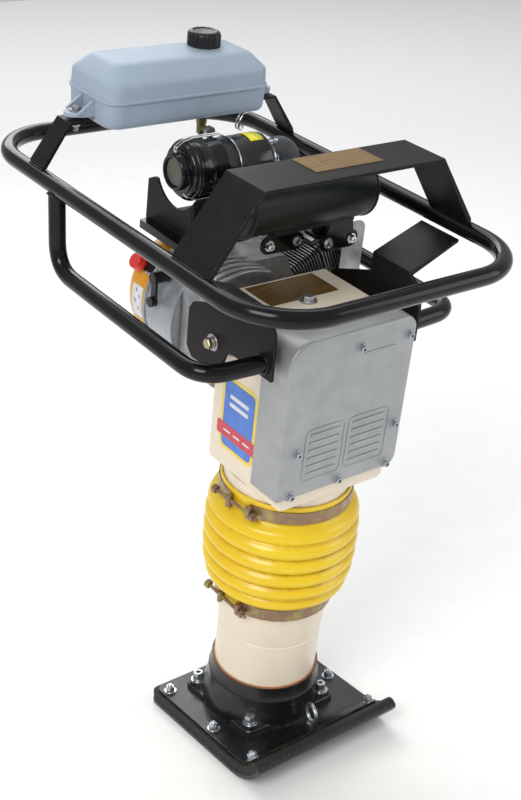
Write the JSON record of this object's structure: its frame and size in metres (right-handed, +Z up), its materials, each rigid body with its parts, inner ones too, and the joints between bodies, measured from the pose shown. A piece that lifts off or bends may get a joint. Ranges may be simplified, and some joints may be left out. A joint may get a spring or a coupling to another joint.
{
  "type": "tamping rammer",
  "caption": "Upright tamping rammer: shod foot, sprung leg with convoluted bellows, crankcase, small engine, loop handle on rubber mounts, guard strap and rear fuel tank.",
  "frame": {"origin": "centre of the flat sole face", "axes": "+Z up; the turned-up toe and the crankcase cover face -Y, the operator stands at +Y, +X is across the machine"},
  "size_m": [0.4754, 0.7342, 1.0667],
  "materials": {
    "black_steel": "satin black paint on steel",
    "black_casting": "black painted casting",
    "laminate": "black moulded sole layer",
    "cream_paint": "semi-gloss cream paint",
    "silver_cast": "painted cast aluminium",
    "yellow_rubber": "moulded yellow rubber",
    "yellow_zinc": "yellow-passivated zinc plate",
    "steel": "machined steel",
    "engine_cast": "sand-cast aluminium",
    "orange_paint": "gloss orange-yellow paint",
    "red_plastic": "red moulded plastic",
    "black_plastic": "black moulded plastic",
    "black_rubber": "black rubber",
    "filter_foam": "oiled filter foam",
    "tank_plastic": "pale blue-grey moulded tank",
    "brass": "dull brass"
  },
  "bodies": {
    "foot": {"sole_plate": "black_casting", "sole_pad": "laminate", "shoe_deck": "black_casting", "shoe_casting": "black_casting", "towing_eye": "steel", "spring_cylinder": "cream_paint", "spring_cap": "steel", "spring_lower": "steel", "spring_upper": "steel", "bellows": "yellow_rubber", "lower_band": "yellow_zinc", "lower_band_bolt": "yellow_zinc"},
    "ram": {"ram_piston": "steel"},
    "gear": {"crank_gear": "steel"},
    "conrod": {"connecting_rod": "steel", "wrist_pin": "steel"},
    "pinion": {"pinion_drum": "steel"},
    "crank": {"crankshaft": "steel", "clutch_rotor": "steel", "flywheel": "steel"},
    "pulley": {"recoil_pulley": "steel"},
    "grip": {"recoil_grip": "black_plastic"},
    "stop_knob": {"stop_switch": "red_plastic"},
    "throttle": {"throttle_lever": "black_plastic"},
    "air_cap": {"air_cleaner_cap": "black_steel"},
    "handle": {"handle_loop": "black_steel", "lower_tube_left": "black_steel", "lower_tube_right": "black_steel", "guard_strap": "black_steel", "mount_plate_left": "black_steel", "mount_plate_right": "black_steel", "tank_upright_left": "black_steel", "tank_upright_right": "black_steel", "fuel_tank": "tank_plastic", "fuel_cock": "brass", "fuel_hose": "black_rubber"},
    "fuel_cap": {"tank_cap": "black_plastic"},
    "cock_lever": {"fuel_lever": "steel"},
    "upper": {"guide_cylinder": "cream_paint", "upper_band": "yellow_zinc", "upper_band_bolt": "yellow_zinc", "crankcase_housing": "cream_paint", "crankcase_cover": "silver_cast", "clutch_housing": "engine_cast", "engine_block": "engine_cast", "engine_cylinder": "engine_cast", "cylinder_head": "engine_cast", "rocker_cover": "engine_cast", "spark_plug": "black_plastic", "blower_housing": "engine_cast", "recoil_cover": "orange_paint", "muffler": "black_steel", "carburettor": "engine_cast", "intake_elbow": "black_rubber", "air_cleaner_body": "black_steel", "filter_element": "filter_foam", "air_cleaner_bracket": "black_steel", "side_baffle": "engine_cast", "rubber_mount_left": "black_rubber", "rubber_mount_right": "black_rubber"}
  },
  "joints": [
    {"name": "ram_stroke", "type": "slide", "parent": "foot", "child": "upper", "axis": [0, -0.1392, 0.9903], "range_m": [0, 0.065], "deforming": ["bellows"]},
    {"name": "piston_travel", "type": "slide", "parent": "foot", "child": "ram", "axis": [0, -0.1392, 0.9903], "range_m": [-0.03, 0], "stiffness_N_per_m": 40000, "deforming": ["spring_lower", "spring_upper"]},
    {"name": "gear_spin", "type": "hinge", "parent": "upper", "child": "gear", "pos_m": [0, -0.05615, 0.55761], "axis": [0, 0.9903, 0.1392], "continuous": true},
    {"name": "big_end", "type": "hinge", "parent": "gear", "child": "conrod", "pos_m": [0, -0.07376, 0.52484], "axis": [0, 0.9903, 0.1392], "continuous": true},
    {"name": "pinion_spin", "type": "hinge", "parent": "upper", "child": "pinion", "pos_m": [0, -0.05016, 0.64429], "axis": [0, 0.9903, 0.1392], "continuous": true},
    {"name": "crankshaft_spin", "type": "hinge", "parent": "upper", "child": "crank", "pos_m": [0, 0.09838, 0.66517], "axis": [0, 0.9903, 0.1392], "continuous": true},
    {"name": "pulley_spin", "type": "hinge", "parent": "upper", "child": "pulley", "pos_m": [0, 0.20632, 0.68034], "axis": [0, 0.9903, 0.1392], "range_deg": [0, 430]},
    {"name": "grip_pull", "type": "slide", "parent": "upper", "child": "grip", "axis": [1, 0, 0], "range_m": [0, 0.3], "stiffness_N_per_m": 25, "springref_m": -0.1},
    {"name": "stop_turn", "type": "hinge", "parent": "upper", "child": "stop_knob", "pos_m": [-0.078, 0.1963, 0.73008], "axis": [-0.8387, -0.0758, 0.5393], "range_deg": [0, 60]},
    {"name": "throttle_turn", "type": "hinge", "parent": "upper", "child": "throttle", "pos_m": [-0.104, 0.12315, 0.73328], "axis": [1, 0, 0], "range_deg": [-35, 35]},
    {"name": "air_cap_pull", "type": "slide", "parent": "upper", "child": "air_cap", "axis": [-1, 0, 0], "range_m": [0, 0.05]},
    {"name": "handle_rock", "type": "hinge", "parent": "upper", "child": "handle", "pos_m": [0, -0.05923, 0.69451], "axis": [1, 0, 0], "range_deg": [-2.5, 2.5], "stiffness_Nm_per_rad": 6000, "deforming": ["fuel_hose"]},
    {"name": "fuel_cap_turn", "type": "hinge", "parent": "handle", "child": "fuel_cap", "pos_m": [0.06, 0.22879, 1.04501], "axis": [0, -0.1392, 0.9903], "continuous": true},
    {"name": "cock_turn", "type": "hinge", "parent": "handle", "child": "cock_lever", "pos_m": [0.024, 0.16262, 0.92665], "axis": [0, 0.9903, 0.1392], "range_deg": [-90, 0]}
  ],
  "couplings": [
    {"joint": "big_end", "follows": "gear_spin", "ratio": -1},
    {"joint": "pinion_spin", "follows": "gear_spin", "ratio": -4},
    {"joint": "pulley_spin", "follows": "grip_pull", "rad_per_m": 23.8}
  ]
}
